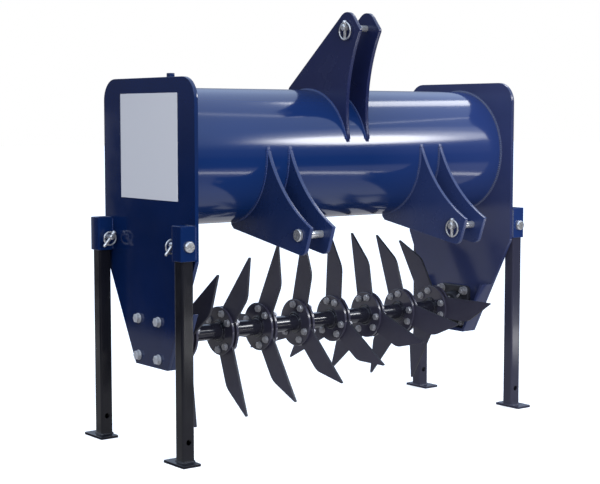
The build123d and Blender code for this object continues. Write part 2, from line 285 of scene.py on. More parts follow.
def enamel(name, dark, light, rough, peel, stretch=(1, 1, 1), painted_light=None):
    """Sprayed paint: slow drift from dark to light, cloudy gloss and orange-peel relief, by three noises; a
    second colour, where given, is painted light that pales the paint towards +X.
    """
    mat, tree, shader, coords = shader_of(name)
    color = ramp(tree, noise(tree, coords, DRIFT_SCALE, stretch), [(0.3, dark), (0.7, light)])
    # painted light: the colour turns paler towards +X, as if the right-hand end stood in stronger light
    if painted_light:
        color = paint_light_along_x(tree, coords, color, painted_light)
    tree.links.new(color, shader.inputs["Base Color"])
    clouds = noise(tree, coords, CLOUD_SCALE, stretch, 4.0)
    gloss = ramp(tree, clouds, [(0.35, grey(rough[0])), (0.7, grey(rough[1]))])
    tree.links.new(gloss, shader.inputs["Roughness"])
    bumped(tree, shader, noise(tree, coords, PEEL_SCALE, stretch, 2.0), peel, PEEL_DEPTH)
    return mat


def metal(name, dark, light, rough, relief, bare=0.6):
    """Plated metal under its dull passivation: mottled tint, uneven polish and a fine grain."""
    mat, tree, shader, coords = shader_of(name)
    shader.inputs["Metallic"].default_value = bare
    tint = ramp(tree, noise(tree, coords, TINT_SCALE, detail=4.0), [(0.3, dark), (0.7, light)])
    tree.links.new(tint, shader.inputs["Base Color"])
    patches = noise(tree, coords, POLISH_SCALE)
    polish = ramp(tree, patches, [(0.3, grey(rough[0])), (0.7, grey(rough[1]))])
    tree.links.new(polish, shader.inputs["Roughness"])
    bumped(tree, shader, noise(tree, coords, GRAIN_SCALE), relief, GRAIN_DEPTH)
    return mat


# Where a paint below gets a second, paler colour for +X, that colour is painted light on the right-hand
# parts: navy, lower hitch plates, tube, welds and legs.
NAVY = enamel("navy_enamel", (0.0027, 0.0128, 0.058), (0.0035, 0.0152, 0.070), (0.09, 0.15), 0.04,
              painted_light=(0.014, 0.034, 0.130))
# lower hitch plates: a rougher paint whose paler, greyer colour is a painted sheen, with painted light
# towards +X
SATIN_NAVY_PAINTED_SHEEN = enamel("satin_navy_painted_sheen", (0.0095, 0.0215, 0.078), (0.0120, 0.0255, 0.094), (0.22, 0.32),
                    0.06, painted_light=(0.028, 0.042, 0.125))
# right end plate and its guard: a paler, greyer copy of the navy paint, painted light
NAVY_PAINTED_LIGHTER = enamel("navy_enamel_painted_lighter", (0.026, 0.035, 0.094), (0.031, 0.040, 0.110), (0.16, 0.24), 0.06)
TUBE_NAVY = enamel("tube_navy_enamel", (0.0042, 0.0180, 0.080), (0.0054, 0.0215, 0.097), (0.10, 0.16), 0.03,
                   stretch=(0.08, 1, 1), painted_light=(0.020, 0.040, 0.145))
# top link plates: a darker, greyer copy of the navy paint, painted shade
MAST_NAVY_PAINTED_SHADE = enamel("mast_navy_painted_shade", (0.0080, 0.0125, 0.050), (0.0105, 0.0150, 0.060), (0.20, 0.30), 0.06)
# welds: a paler copy of the navy paint, a painted highlight along the seams, with painted light towards +X
WELD_NAVY = enamel("weld_navy_paint", (0.0080, 0.0200, 0.085), (0.0120, 0.0280, 0.110), (0.16, 0.30), 0.3,
                   painted_light=(0.045, 0.056, 0.115))
VINYL = enamel("blank_decal_vinyl", (0.686, 0.666, 0.658), (0.692, 0.672, 0.664), (0.29, 0.31), 0.01)
CASTING = enamel("grey_bearing_casting", (0.016, 0.017, 0.022), (0.025, 0.026, 0.033), (0.38, 0.58), 0.5)
LEG_BLACK = enamel("leg_black_enamel", (0.006, 0.006, 0.0085), (0.009, 0.009, 0.012), (0.14, 0.24), 0.05,
                   painted_light=(0.034, 0.034, 0.056))
ROTOR_BLACK = enamel("rotor_black_enamel", (0.010, 0.010, 0.016), (0.016, 0.016, 0.024), (0.09, 0.17), 0.06)
DISC_SLATE = enamel("disc_slate_enamel", (0.032, 0.030, 0.048), (0.041, 0.039, 0.060), (0.16, 0.26), 0.08)
SLATE = enamel("knife_slate_coating", (0.033, 0.031, 0.050), (0.042, 0.040, 0.064), (0.34, 0.50), 0.12)
# knife rims: a darker, rougher copy of the knife coating, painted shade that hides the light along their
# edges
KNIFE_RIM_PAINTED_SHADE = enamel("knife_rim_painted_shade", (0.015, 0.015, 0.021), (0.021, 0.021, 0.028), (0.50, 0.65), 0.10)
ZINC = metal("bright_zinc", (0.52, 0.52, 0.51), (0.68, 0.68, 0.67), (0.22, 0.38), 0.15, bare=0.8)
BOLT_ZINC = metal("dull_bolt_zinc", (0.50, 0.50, 0.50), (0.66, 0.66, 0.66), (0.42, 0.58), 0.2)
GREY_ZINC = metal("grey_rotor_zinc", (0.27, 0.27, 0.29), (0.41, 0.41, 0.43), (0.28, 0.42), 0.2)


def piece(name, shells, material, body, replaces=(), rim=None):
    """One finished piece: shells put in one mesh that rides on a body.

    Four-sided faces are walls, smooth up to the sharp angle and in any rim's material; caps are flat.
    """
    verts, faces = joined(shells)
    walls = np.array([len(f) == 4 for f in faces])
    mesh = bpy.data.meshes.new(name)
    mesh.from_pydata(verts.tolist(), [], faces)
    # the sharp edges come first, because finding them resets which faces are smooth
    mesh.set_sharp_from_angle(angle=math.radians(SHARP))
    mesh.polygons.foreach_set("use_smooth", walls)
    mesh.materials.append(material)
    if rim:
        mesh.materials.append(rim)
        mesh.polygons.foreach_set("material_index", walls.astype(int))
    mesh.update()
    obj = bpy.data.objects.new(name, mesh)
    bpy.context.scene.collection.objects.link(obj)
    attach(obj, body)
    if replaces:
        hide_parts(*replaces)
    return obj


# weld beads
RIPPLE = 0.007
RIPPLE_SHARE = 0.13
RIPPLE_STEPS = 5
BEAD_STEPS = 12
BEAD_SIDES = 8


def bead(path, size, closed=False):
    """A weld run: a round bar along a path, its radius rippled by a sine of the distance run."""
    last = path[:1] if closed else path[-1:]
    step = np.linalg.norm(np.diff(path, axis=0, append=last), axis=1)
    run = np.concatenate([[0], np.cumsum(step)])
    count = max(BEAD_STEPS, int(run[-1] / RIPPLE * RIPPLE_STEPS))
    at = np.linspace(0, run[-1], count, endpoint=not closed)
    ends = np.vstack([path, last])
    dense = np.stack([np.interp(at, run, ends[:, k]) for k in range(3)], -1)
    radius = size * (1 + RIPPLE_SHARE * np.sin(2 * math.pi * at / RIPPLE))
    return swept(dense, radius, BEAD_SIDES, closed)


def in_plane(x, yz):
    """A path in (y, z) placed at one x."""
    return np.insert(yz, 0, x, axis=1)


def circle_path(radius, steps=96):
    """A circle about the X axis, in the plane x = 0."""
    angle = np.linspace(0, 2 * math.pi, steps, endpoint=False)
    return np.stack([0 * angle, radius * np.cos(angle), radius * np.sin(angle)], -1)


# frame: tube, end plates and bearing guards
TAPER_Z = ROTOR_Z + 0.244
FOOT_Z = ROTOR_Z - 0.083
FOOT_STEEP = 0.077
FOOT_GENTLE = 0.099
PLATE_CORNER = 0.065
TAPER_CORNER = 0.02
FOOT_CORNER = 0.003
GUARD_T = 0.010
BAR_END = 0.001
BEND_OUTSIDE = 0.004
BEND_INSIDE = 0.003


def ballast_tube():
    """A straight pipe, smooth all round, between the end plates."""
    wall = turned([(-PLATE_IN, TUBE_R), (0, TUBE_R), (PLATE_IN, TUBE_R)], sides=160)
    pipe = repeated(wall, (0, TUBE_Y, TUBE_Z))
    piece("tube_skin", [pipe], TUBE_NAVY, "frame", ["ballast_tube"])


def edge_y(sx, sy, z):
    """Tapered edge of an end plate at a height; both plates are one profile, turned end for end."""
    half = (PLATE_HIGH[1] - PLATE_LOW[1]) / 2
    foot = FOOT_STEEP if sx * sy < 0 else FOOT_GENTLE
    return TUBE_Y + sy * (foot + (half - foot) * (z - FOOT_Z) / (TAPER_Z - FOOT_Z))


def foot_corners(sx, top):
    """The tapered outline below a height, from the +y edge round the foot to the -y edge."""
    return [(edge_y(sx, sy, z), z) for sy, z in ((1, top), (1, FOOT_Z), (-1, FOOT_Z), (-1, top))]


def guard_y(sx, sy, z):
    """Inner edge of a guard's side bar at a height: the plate's edge less the bar's slanting thickness."""
    lean = (edge_y(sx, sy, TAPER_Z) - edge_y(sx, sy, FOOT_Z)) / (TAPER_Z - FOOT_Z)
    return edge_y(sx, sy, z) - sy * GUARD_T * math.hypot(1, lean)


def guard_inside(sx):
    """The inner corners of a guard: down the -y bar, along the bottom one and up the +y bar."""
    top, sill = GUARD_HIGH[2], FOOT_Z + GUARD_T
    return [(guard_y(sx, sy, z), z) for sy, z in ((-1, top), (-1, sill), (1, sill), (1, top))]


def guard_outline(sx):
    """Flat bar round the plate's foot, down one edge and up the other: outer corners, then inner ones."""
    outside = [BAR_END, BEND_OUTSIDE, BEND_OUTSIDE, BAR_END]
    inside = [BAR_END, BEND_INSIDE, BEND_INSIDE, BAR_END]
    return rounded(foot_corners(sx, GUARD_HIGH[2]) + guard_inside(sx), outside + inside)


def end_plates():
    """Both end plates and the open guards on their inner faces, with rounded rims."""
    radii = [PLATE_CORNER, PLATE_CORNER, TAPER_CORNER, FOOT_CORNER, FOOT_CORNER, TAPER_CORNER]
    top = [(PLATE_LOW[1], PLATE_HIGH[2]), (PLATE_HIGH[1], PLATE_HIGH[2])]
    # the right plate and guard take the paler copy of the paint: painted light
    for (side, sx), paint in zip(SIDES, (NAVY, NAVY_PAINTED_LIGHTER)):
        sheet = plate(rounded(top + foot_corners(sx, TAPER_Z), radii), sx * PLATE_IN, sx * PLATE_OUT)
        piece(f"end_plate_skin_{side}", [sheet], paint, "frame", [f"end_plate_{side}"])
        guard = plate(guard_outline(sx), sx * GUARD_LOW[0], sx * PLATE_IN)
        piece(f"bearing_guard_{side}", [guard], paint, "frame", [f"bearing_block_{side}"])


# hitch plates
LUG_TOE = 0.018
LUG_TOE_DROP = 0.006
LUG_TOE_BEVEL = 0.012
LUG_TOE_R = 0.002
LUG_HEEL_R = 0.004
LUG_CHIN = 0.022
LUG_CHIN_DOWN = 0.061
LUG_CHIN_R = 0.024
LUG_NOSE = 0.052
LUG_NOSE_UP = 0.023
LUG_NOSE_R = 0.003
LUG_RISE = 0.031
MAST_HEEL = 0.094
MAST_HEEL_UP = 0.030
MAST_HEEL_R = 0.003
MAST_APEX = 0.005
MAST_APEX_UP = 0.0629
MAST_APEX_R = 0.038
MAST_NOSE = 0.061
MAST_NOSE_DOWN = 0.007
MAST_NOSE_R = 0.010
MAST_TOE_T = 0.001
MAST_TOE_UP = 0.042
FRONT_SAG = 0.029
# points of the bowed front edge that the mast's rounded nose takes up
NOSE_STEPS = 3


def cope(start, end):
    """The tube's circle between the directions of two points, as the plates are cut to sit on it."""
    a, b = (math.atan2(p[1] - TUBE_Z, p[0] - TUBE_Y) for p in (start, end))
    b += 2 * math.pi * round((a - b) / (2 * math.pi))
    angle = np.linspace(a, b, COPE_STEPS)
    return np.stack([TUBE_Y + COPE_R * np.cos(angle), TUBE_Z + COPE_R * np.sin(angle)], -1)


def lower_plate_outline():
    """Lower link plate: bevelled toe under the tube, round chin, bowed front edge, coped top."""
    y, z = LOWER_PIN
    toe = (TUBE_Y - LUG_TOE, TUBE_Z - TUBE_R - LUG_TOE_DROP)
    heel = (toe[0] - LUG_TOE_BEVEL, toe[1] - LUG_TOE_BEVEL)
    chin = (y - LUG_CHIN, z - LUG_CHIN_DOWN)
    nose = (y - LUG_NOSE, z + LUG_NOSE_UP)
    top = (TUBE_Y - math.sqrt(TUBE_R**2 - LUG_RISE**2), TUBE_Z + LUG_RISE)
    seat = cope(top, toe)
    front = bow(nose, top, FRONT_SAG)
    return np.concatenate([
        seat, corner(seat[-1], toe, heel, LUG_TOE_R), corner(toe, heel, chin, LUG_HEEL_R),
        corner(heel, chin, nose, LUG_CHIN_R), corner(chin, nose, front[1], LUG_NOSE_R), front[1:-1]])


def top_plate_outline():
    """Top link plate: heel on the tube, sloping back, round apex, bowed front edge, coped foot."""
    y, z = TOP_PIN
    seat = (TUBE_Y + MAST_HEEL, TUBE_Z + math.sqrt(TUBE_R**2 - MAST_HEEL**2))
    heel = (seat[0], seat[1] + MAST_HEEL_UP)
    apex = (y - MAST_APEX, z + MAST_APEX_UP)
    nose = (y - MAST_NOSE, z - MAST_NOSE_DOWN)
    toe = (TUBE_Y - TUBE_R - MAST_TOE_T, TUBE_Z + MAST_TOE_UP)
    front = bow(nose, toe, -FRONT_SAG)
    return np.concatenate([
        cope(toe, seat), corner(seat, heel, apex, MAST_HEEL_R), corner(heel, apex, nose, MAST_APEX_R),
        corner(apex, nose, front[NOSE_STEPS], MAST_NOSE_R), front[NOSE_STEPS:-1]])


def hitch_plates():
    """The six hitch plates, each with rounded rims."""
    lower, upper = lower_plate_outline(), top_plate_outline()
    for side, _ in SIDES:
        for place in ("outer", "inner"):
            node = f"lower_link_plate_{side}_{place}"
            low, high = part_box(node)
            lug = plate(lower, low[0], high[0])
            # the lower plates take the paint with the painted sheen
            piece(f"lower_plate_skin_{side}_{place}", [lug], SATIN_NAVY_PAINTED_SHEEN, "frame", [node])
        node = f"top_link_plate_{side}"
        low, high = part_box(node)
        mast = plate(upper, low[0], high[0])
        # the top link plates take the darker copy of the paint: painted shade
        piece(f"top_plate_skin_{side}", [mast], MAST_NAVY_PAINTED_SHADE, "frame", [node])


# fasteners, M16 and scaled from it, seated at x = 0: rows of (reach, radius)
WASHER = [(0, 0.006), (0, 0.0148), (0.0005, 0.0153), (0.0025, 0.0153), (0.003, 0.0148), (0.003, 0.006)]
HEX_HEAD = [(0.003, 0.0138), (0.0118, 0.0138), (0.013, 0.0122)]
HEX_NUT = [(0.003, 0.0126), (0.0038, 0.0138), (0.0152, 0.0138), (0.016, 0.0126)]
BOLT_END = [(0.016, 0.0078), (0.0205, 0.0078), (0.022, 0.0065)]
M12 = 0.75


def fastener(out, size, *parts):
    """A washer and the turned or six-sided parts on it, scaled by size, standing out one way along X."""
    rows = [(np.array(profile) * (out * size, size), sides) for profile, sides in ((WASHER, 28), *parts)]
    return joined([turned(profile, sides=sides) for profile, sides in rows])


def hex_bolt(out, size=1.0):
    """A hexagon head on its washer."""
    return fastener(out, size, (HEX_HEAD, 6))


def hex_nut(out, size=1.0):
    """A hexagon nut on its washer, with the bolt's end through it."""
    return fastener(out, size, (HEX_NUT, 6), (BOLT_END, 20))


def stub(at, turn, profile):
    """A round stub out from a point of the shaft's axis, turned from upright, by (reach, radius) rows."""
    reach, radius = np.array(profile).T
    a = math.radians(turn)
    return swept(np.array(at) + reach[:, None] * (0, -math.sin(a), math.cos(a)), radius, 16)


# rotor
TURNS = (52.6, 40.0, 27.2, 13.8, 3.4, -9.6, -19.0, -30.4)
BLADES = 3
BLADE_T = 0.008
DISC_T = 0.008
DISC_RIM = 0.001
DISC_BORE = 0.03
CLAMP_IN = BLADE_T / 2
CLAMP_OUT = BLADE_T / 2 + DISC_T
SHAFT_R = 0.025
HUB_R = 0.033
HUB_HALF = 0.015
HUB_BORE = SHAFT_R - 0.001
BEVEL = 0.002
HUB_WELD = 0.003
DISC_WELD = 0.0025
KNIFE_ROOT = 0.040
KNIFE_KNEE = 0.172
KNIFE_TIP = 0.276
KNIFE_TRAIL = 0.040
KNIFE_LEAD = 0.033
KNIFE_TIP_FLAT = 0.004
KNIFE_RADII = [0.002, 0.002, 0.0006, 0.0006, 0.060]
KNIFE_RIM = 0.0006
ROTOR_BOLT_R = 0.058
ROTOR_BOLT_SPREAD = 20.0


def station_x(i):
    """The middle of a knife station along the shaft."""
    low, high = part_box(f"blade_set_{i + 1}")
    return (low[0] + high[0]) / 2


def rotor_shaft():
    """Shaft with welded hubs, and a pair of clamp discs at each station, all spun from their profiles."""
    seat = np.array([(station_x(i), ROTOR_Y, ROTOR_Z) for i in range(len(TURNS))])
    low, high = SHAFT_LOW[0], SHAFT_HIGH[0]
    bar = turned([
        (low, SHAFT_R - BEVEL), (low + BEVEL, SHAFT_R), (high - BEVEL, SHAFT_R), (high, SHAFT_R - BEVEL)],
        sides=64)
    hub = turned([
        (-HUB_HALF, HUB_BORE), (-HUB_HALF, HUB_R - BEVEL), (-HUB_HALF + BEVEL, HUB_R),
        (HUB_HALF - BEVEL, HUB_R), (HUB_HALF, HUB_R - BEVEL), (HUB_HALF, HUB_BORE)], sides=64)
    disc = [
        (CLAMP_IN, DISC_BORE), (CLAMP_IN, DISC_R - DISC_RIM), (CLAMP_IN + DISC_RIM, DISC_R),
        (CLAMP_OUT - DISC_RIM, DISC_R), (CLAMP_OUT, DISC_R - DISC_RIM), (CLAMP_OUT, DISC_BORE)]
    discs = joined([turned([(x * s, r) for x, r in disc], sides=96) for s in (-1, 1)])
    piece("rotor_skin", [repeated(bar, (0, ROTOR_Y, ROTOR_Z)), repeated(hub, seat)], ROTOR_BLACK,
          "rotor", ["rotor_shaft"])
    piece("disc_skins", [repeated(discs, seat)], DISC_SLATE, "rotor", ["rotor_shaft"])
    seams = ((SHAFT_R, HUB_HALF, HUB_WELD), (HUB_R, CLAMP_OUT, DISC_WELD))
    rings = [repeated(bead(circle_path(r), size, True), seat + (s * x, 0, 0))
             for r, x, size in seams for s in (-1, 1)]
    piece("rotor_welds", rings, ROTOR_BLACK, "rotor")


def knife_outline(angle):
    """Knife turned from upright: straight trailing edge, leading edge cut back from a round knee."""
    points = [
        (-KNIFE_LEAD, KNIFE_ROOT), (KNIFE_TRAIL, KNIFE_ROOT), (KNIFE_TRAIL, KNIFE_TIP),
        (KNIFE_TRAIL - KNIFE_TIP_FLAT, KNIFE_TIP), (-KNIFE_LEAD, KNIFE_KNEE)]
    c, s = math.cos(math.radians(angle)), math.sin(math.radians(angle))
    return rounded(points, KNIFE_RADII) @ np.array([[c, s], [-s, c]]) + (ROTOR_Y, ROTOR_Z)


def knives():
    """Three knives at each station, and the bolts that clamp them between the discs."""
    spread = np.radians([-ROTOR_BOLT_SPREAD, ROTOR_BOLT_SPREAD])
    bolts = []
    for i, phase in enumerate(TURNS):
        x = station_x(i)
        turns = phase + 360 / BLADES * np.arange(BLADES)
        blades = [plate(knife_outline(a), x - BLADE_T / 2, x + BLADE_T / 2, KNIFE_RIM) for a in turns]
        # rims in the darker copy of the coating: painted shade over their edge highlights
        piece(f"knives_{i + 1}", blades, SLATE, "rotor", [f"blade_set_{i + 1}"],
              rim=KNIFE_RIM_PAINTED_SHADE)
        angle = (np.radians(turns)[:, None] + spread).ravel()
        y = ROTOR_Y - ROTOR_BOLT_R * np.sin(angle)
        z = ROTOR_Z + ROTOR_BOLT_R * np.cos(angle)
        seat = np.stack([0 * angle, y, z], -1)
        bolts.append(repeated(hex_bolt(-1, M12), seat + (x - CLAMP_OUT, 0, 0)))
        bolts.append(repeated(hex_nut(1, M12), seat + (x + CLAMP_OUT, 0, 0)))
    piece("knife_bolts", bolts, GREY_ZINC, "rotor")


# bearings: profiles are rows of (reach from the end plate, radius)
BOLT_SQUARE = 0.111
FLANGE_HALF = 0.0715
FLANGE_T = 0.016
FLANGE_CORNER = 0.018
FLANGE_EDGE = 0.004
HOUSING = [(0.010, 0.049), (0.016, 0.0505), (0.022, 0.049), (0.036, 0.046), (0.040, 0.043), (0.040, 0.0348)]
COLLAR = [(0.030, 0.034), (0.0535, 0.034), (0.055, 0.0325), (0.055, 0.0252), (0.030, 0.0252)]
# small fittings: reach from the end plate, turns from upright, and rows of (reach from the axis, radius)
NIPPLE_AT = 0.028
NIPPLE_TURN = 45
NIPPLE = [(0.046, 0.0045), (0.053, 0.0045), (0.053, 0.003), (0.057, 0.003), (0.059, 0.0038), (0.061, 0.0025)]
SCREW_AT = 0.047
SCREW_TURNS = (20, 140)
SCREW = [(0.030, 0.004), (0.0355, 0.004), (0.036, 0.0034)]


def bearings():
    """Square flange castings with housing, collar, nipple and set screws, bolted to the end plates."""
    half = BOLT_SQUARE / 2
    seats = np.array([(0, ROTOR_Y + a, ROTOR_Z + b) for a in (-half, half) for b in (-half, half)])
    corners = [(ROTOR_Y + a * FLANGE_HALF, ROTOR_Z + b * FLANGE_HALF) for a, b in CORNER_SIGNS]
    outline = rounded(corners, [FLANGE_CORNER] * 4)
    for side, sx in SIDES:
        face = sx * PLATE_IN
        at = np.array((face, ROTOR_Y, ROTOR_Z))
        shells = [plate(outline, face, face - sx * FLANGE_T, FLANGE_EDGE)]
        for profile, ring in ((HOUSING, False), (COLLAR, True)):
            shells.append(repeated(turned([(-sx * x, r) for x, r in profile], sides=64, closed=ring), at))
        piece(f"bearing_casting_{side}", shells, CASTING, "frame", [f"bearing_{side}"])
        heads = repeated(hex_bolt(sx), seats + (sx * PLATE_OUT, 0, 0))
        piece(f"bearing_bolts_{side}", [heads], BOLT_ZINC, "frame")
        fittings = [repeated(hex_nut(-sx), seats + (face - sx * FLANGE_T, 0, 0))]
        fittings.append(stub(at - (sx * NIPPLE_AT, 0, 0), NIPPLE_TURN, NIPPLE))
        fittings += [stub(at - (sx * SCREW_AT, 0, 0), turn, SCREW) for turn in SCREW_TURNS]
        piece(f"bearing_nuts_{side}", fittings, GREY_ZINC, "frame")


# pins and linch pins: profiles are rows of (reach, radius)
PIN_LIP = 0.007
PIN_HEAD_T = 0.009
PIN_POINT = 0.003
PIN_RIM = 0.001
PIN_DOME = 0.002
LEG_PIN_R = 0.008
LEG_PIN_HEAD = [
    (0, 0.0125), (0.0015, 0.0145), (0.004, 0.016), (0.0105, 0.016), (0.012, 0.0148), (0.012, 0.0075),
    (0.0145, 0.0075)]
LEG_PIN_TAIL = [(0, 0.0055), (0.0025, LEG_PIN_R), (0.0449, LEG_PIN_R)]
LINCH_AT = 0.011
LINCH_WIRE = 0.0025
LINCH_SEAT = 0.006
LINCH_LEAN = 40.0
LINCH_STEM = [(-0.052, 0.0032), (-0.049, 0.0047), (0, 0.0047)]
LINCH_BARREL = [(-0.008, 0.0052), (-0.006, 0.0068), (0.004, 0.0068), (0.006, 0.0052)]
HITCH_RING_R = 0.0257
LEG_RING_R = 0.0197


def linch(at, pin_r, ring_r, axis, lean):
    """Linch pin leant about a pin's axis: stem through the pin's tail, barrel on it, wire ring round it."""
    angle = np.linspace(0, 2 * math.pi, 48, endpoint=False)
    loop = np.stack([0 * angle, ring_r * np.sin(angle), ring_r * np.cos(angle)], -1)
    stem = turned([(ring_r + z, r) for z, r in LINCH_STEM], "z", 20)
    barrel = turned([(ring_r + z, r) for z, r in LINCH_BARREL], "z", 24)
    verts, faces = joined([swept(loop, LINCH_WIRE, 10, True), stem, barrel])
    x, y, z = (verts + (0, 0, pin_r + LINCH_SEAT - ring_r)).T
    c, s = math.cos(math.radians(lean)), math.sin(math.radians(lean))
    y, z = c * y + s * z, c * z - s * y
    return np.stack([x, y, z] if axis == "x" else [y, -x, z], -1) + np.array(at), faces


def hitch_pins():
    """Three clevis pins along X, headed on one side; gives the linch pins that hold them on the other."""
    linches = []
    for node, s in (("top_link_pin", 1), ("lower_link_pin_left", -1), ("lower_link_pin_right", 1)):
        low, high = extent(node)
        y, z = pin_axis(node)
        head = (high[2] - low[2]) / 2
        r, length = head - PIN_LIP, high[0] - low[0]
        tail = low[0] if s > 0 else high[0]
        under = length - PIN_HEAD_T
        profile = [
            (0, r - PIN_POINT), (PIN_POINT, r), (under, r), (under, head - PIN_RIM), (under + PIN_RIM, head),
            (length - PIN_DOME, head), (length, head - PIN_DOME)]
        shell = turned([(tail + s * d, radius) for d, radius in profile])
        piece(f"{node}_turned", [repeated(shell, (0, y, z))], ZINC, "frame", [node])
        linches.append(linch((tail + s * LINCH_AT, y, z), r, HITCH_RING_R, "x", 0))
    return linches


def leg_pins():
    """Lock pins along Y, a head outside each socket and a tail inside; gives their leaning linch pins."""
    linches = []
    for side, sx in SIDES:
        for end, sy in ENDS:
            node = f"leg_pin_{end}_{side}"
            low, high = extent(node)
            x, z = (low + high)[[0, 2]] / 2
            outer, inner = (high[1], low[1]) if sy > 0 else (low[1], high[1])
            head = turned([(outer - sy * d, r) for d, r in LEG_PIN_HEAD], "y", 40)
            tail = turned([(inner + sy * d, r) for d, r in LEG_PIN_TAIL], "y", 32)
            shells = [repeated(shell, (x, 0, z)) for shell in (head, tail)]
            piece(f"{node}_turned", shells, ZINC, "frame", [node])
            at = (x, inner + sy * LINCH_AT, z)
            linches.append(linch(at, LEG_PIN_R, LEG_RING_R, "y", -sx * LINCH_LEAN))
    return linches


def pins():
    """All the pins, with their linch pins as one piece."""
    piece("linch_rings", hitch_pins() + leg_pins(), ZINC, "frame", ["linch_pins"])


# parking legs
SOCKET_HALF = 0.025
GUIDE_HALF = 0.0205
SOCKET_CORNER = 0.005
SOCKET_RIM = 0.001
LEG_HALF = 0.020
LEG_CORNER = 0.006
PAD_CORNER = 0.003
PAD_EDGE = 0.0015
PAD_WELD = 0.0035


def square(x, y, half, radius):
    """A rounded square outline about (x, y)."""
    return rounded([(x + a * half, y + b * half) for a, b in CORNER_SIGNS], [radius] * 4)


def sleeve(x, y, z_a, z_b):
    """A square sleeve: its wall's section, outside up and inside down, carried round the rounded square."""
    outer, inner, rim = SOCKET_HALF, GUIDE_HALF, SOCKET_RIM
    wall = [
        (outer - rim, z_a), (outer, z_a + rim), (outer, z_b - rim), (outer - rim, z_b),
        (inner + rim, z_b), (inner, z_b - rim), (inner, z_a + rim), (inner + rim, z_a)]
    rings = [np.insert(square(x, y, half, SOCKET_CORNER + half - outer), 2, z, axis=1) for half, z in wall]
    return outward(skin(np.stack(rings), True))


def sockets_and_feet():
    """Sleeves on the end plates for the legs, and the foot plates welded under the legs."""
    for side, _ in SIDES:
        for end, _ in ENDS:
            tag = f"{end}_{side}"
            low, high = extent(f"leg_socket_{tag}")
            x, y = (low + high)[:2] / 2
            piece(f"socket_skin_{tag}", [sleeve(x, y, low[2], high[2])], NAVY, "frame",
                  [f"leg_socket_{tag}"])
            low, high = extent(f"leg_foot_{tag}")
            points = [(low[0], low[1]), (high[0], low[1]), (high[0], high[1]), (low[0], high[1])]
            pad = plate(rounded(points, [PAD_CORNER] * 4), low[2], high[2], PAD_EDGE, axis="z")
            piece(f"foot_skin_{tag}", [pad], LEG_BLACK, f"leg_{tag}", [f"leg_foot_{tag}"])
            seam = np.insert(square(x, y, LEG_HALF, LEG_CORNER), 2, high[2], axis=1)
            piece(f"foot_weld_{tag}", [bead(seam, PAD_WELD, True)], LEG_BLACK, f"leg_{tag}")


# filler and decal
BOSS_SINK = 0.004
BOSS_BEVEL = 0.002
PLUG_FLANGE = [(0, 0.0175), (0.0015, 0.019), (0.0045, 0.019), (0.006, 0.0175)]
PLUG_HEAD_HALF = 0.009
PLUG_HEAD_SEAT = 0.005
PLUG_ROUND = 0.0015
DECAL_FRONT = TUBE_Y - 0.162
DECAL_REAR = TUBE_Y + 0.151
DECAL_LOW = 0.741
DECAL_HIGH = 1.050
DECAL_CORNER = 0.0015
DECAL_PROUD = 0.0006
DECAL_SINK = 0.0002
DECAL_EDGE = 0.0002


def filler():
    """Filler boss standing on the tube, and its flanged plug with a square head."""
    low, high = extent("filler_boss")
    x, y = (low + high)[:2] / 2
    r, rim = (high[0] - low[0]) / 2, high[2]
    boss = turned([(low[2] - BOSS_SINK, r), (rim - BOSS_BEVEL, r), (rim, r - BOSS_BEVEL)], "z", 56)
    piece("filler_boss_turned", [repeated(boss, (x, y, 0))], NAVY, "frame", ["filler_boss"])
    flange = repeated(turned([(rim + z, radius) for z, radius in PLUG_FLANGE], "z", 6), (x, y, 0))
    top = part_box("filler_plug")[1][2]
    head = plate(square(x, y, PLUG_HEAD_HALF, PLUG_ROUND), rim + PLUG_HEAD_SEAT, top, PLUG_ROUND, axis="z")
    piece("filler_plug_turned", [flange, head], NAVY, "frame", ["filler_plug"])


def decal():
    """A plain pale decal on the outer face of the left end plate: a thin plate with rounded corners."""
    points = [
        (DECAL_FRONT, DECAL_LOW), (DECAL_REAR, DECAL_LOW),
        (DECAL_REAR, DECAL_HIGH), (DECAL_FRONT, DECAL_HIGH)]
    outline = rounded(points, [DECAL_CORNER] * 4)
    film = plate(outline, -PLATE_OUT - DECAL_PROUD, -PLATE_OUT + DECAL_SINK, DECAL_EDGE)
    piece("blank_decal", [film], VINYL, "frame")


# welds of the frame: bead radii
TUBE_WELD = 0.0055
LUG_WELD = 0.0045
SOCKET_WELD = 0.004
GUARD_WELD = 0.004
BOSS_WELD = 0.0035


def socket_runs(sx, tag):
    """Two upright runs where a socket meets its end plate, a bead's radius in from its edges."""
    low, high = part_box(f"leg_socket_{tag}")
    x, z_a, z_b = sx * PLATE_OUT, low[2] + SOCKET_WELD, high[2] - SOCKET_WELD
    sides = (low[1] + SOCKET_WELD, high[1] - SOCKET_WELD)
    return [bead(np.array([(x, y, z_a), (x, y, z_b)]), SOCKET_WELD) for y in sides]


def lug_runs(node, outline):
    """A run on each face of a hitch plate, along its coped edge."""
    low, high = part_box(node)
    return [bead(in_plane(x, outline[1:COPE_STEPS - 1]), LUG_WELD) for x in (low[0], high[0])]


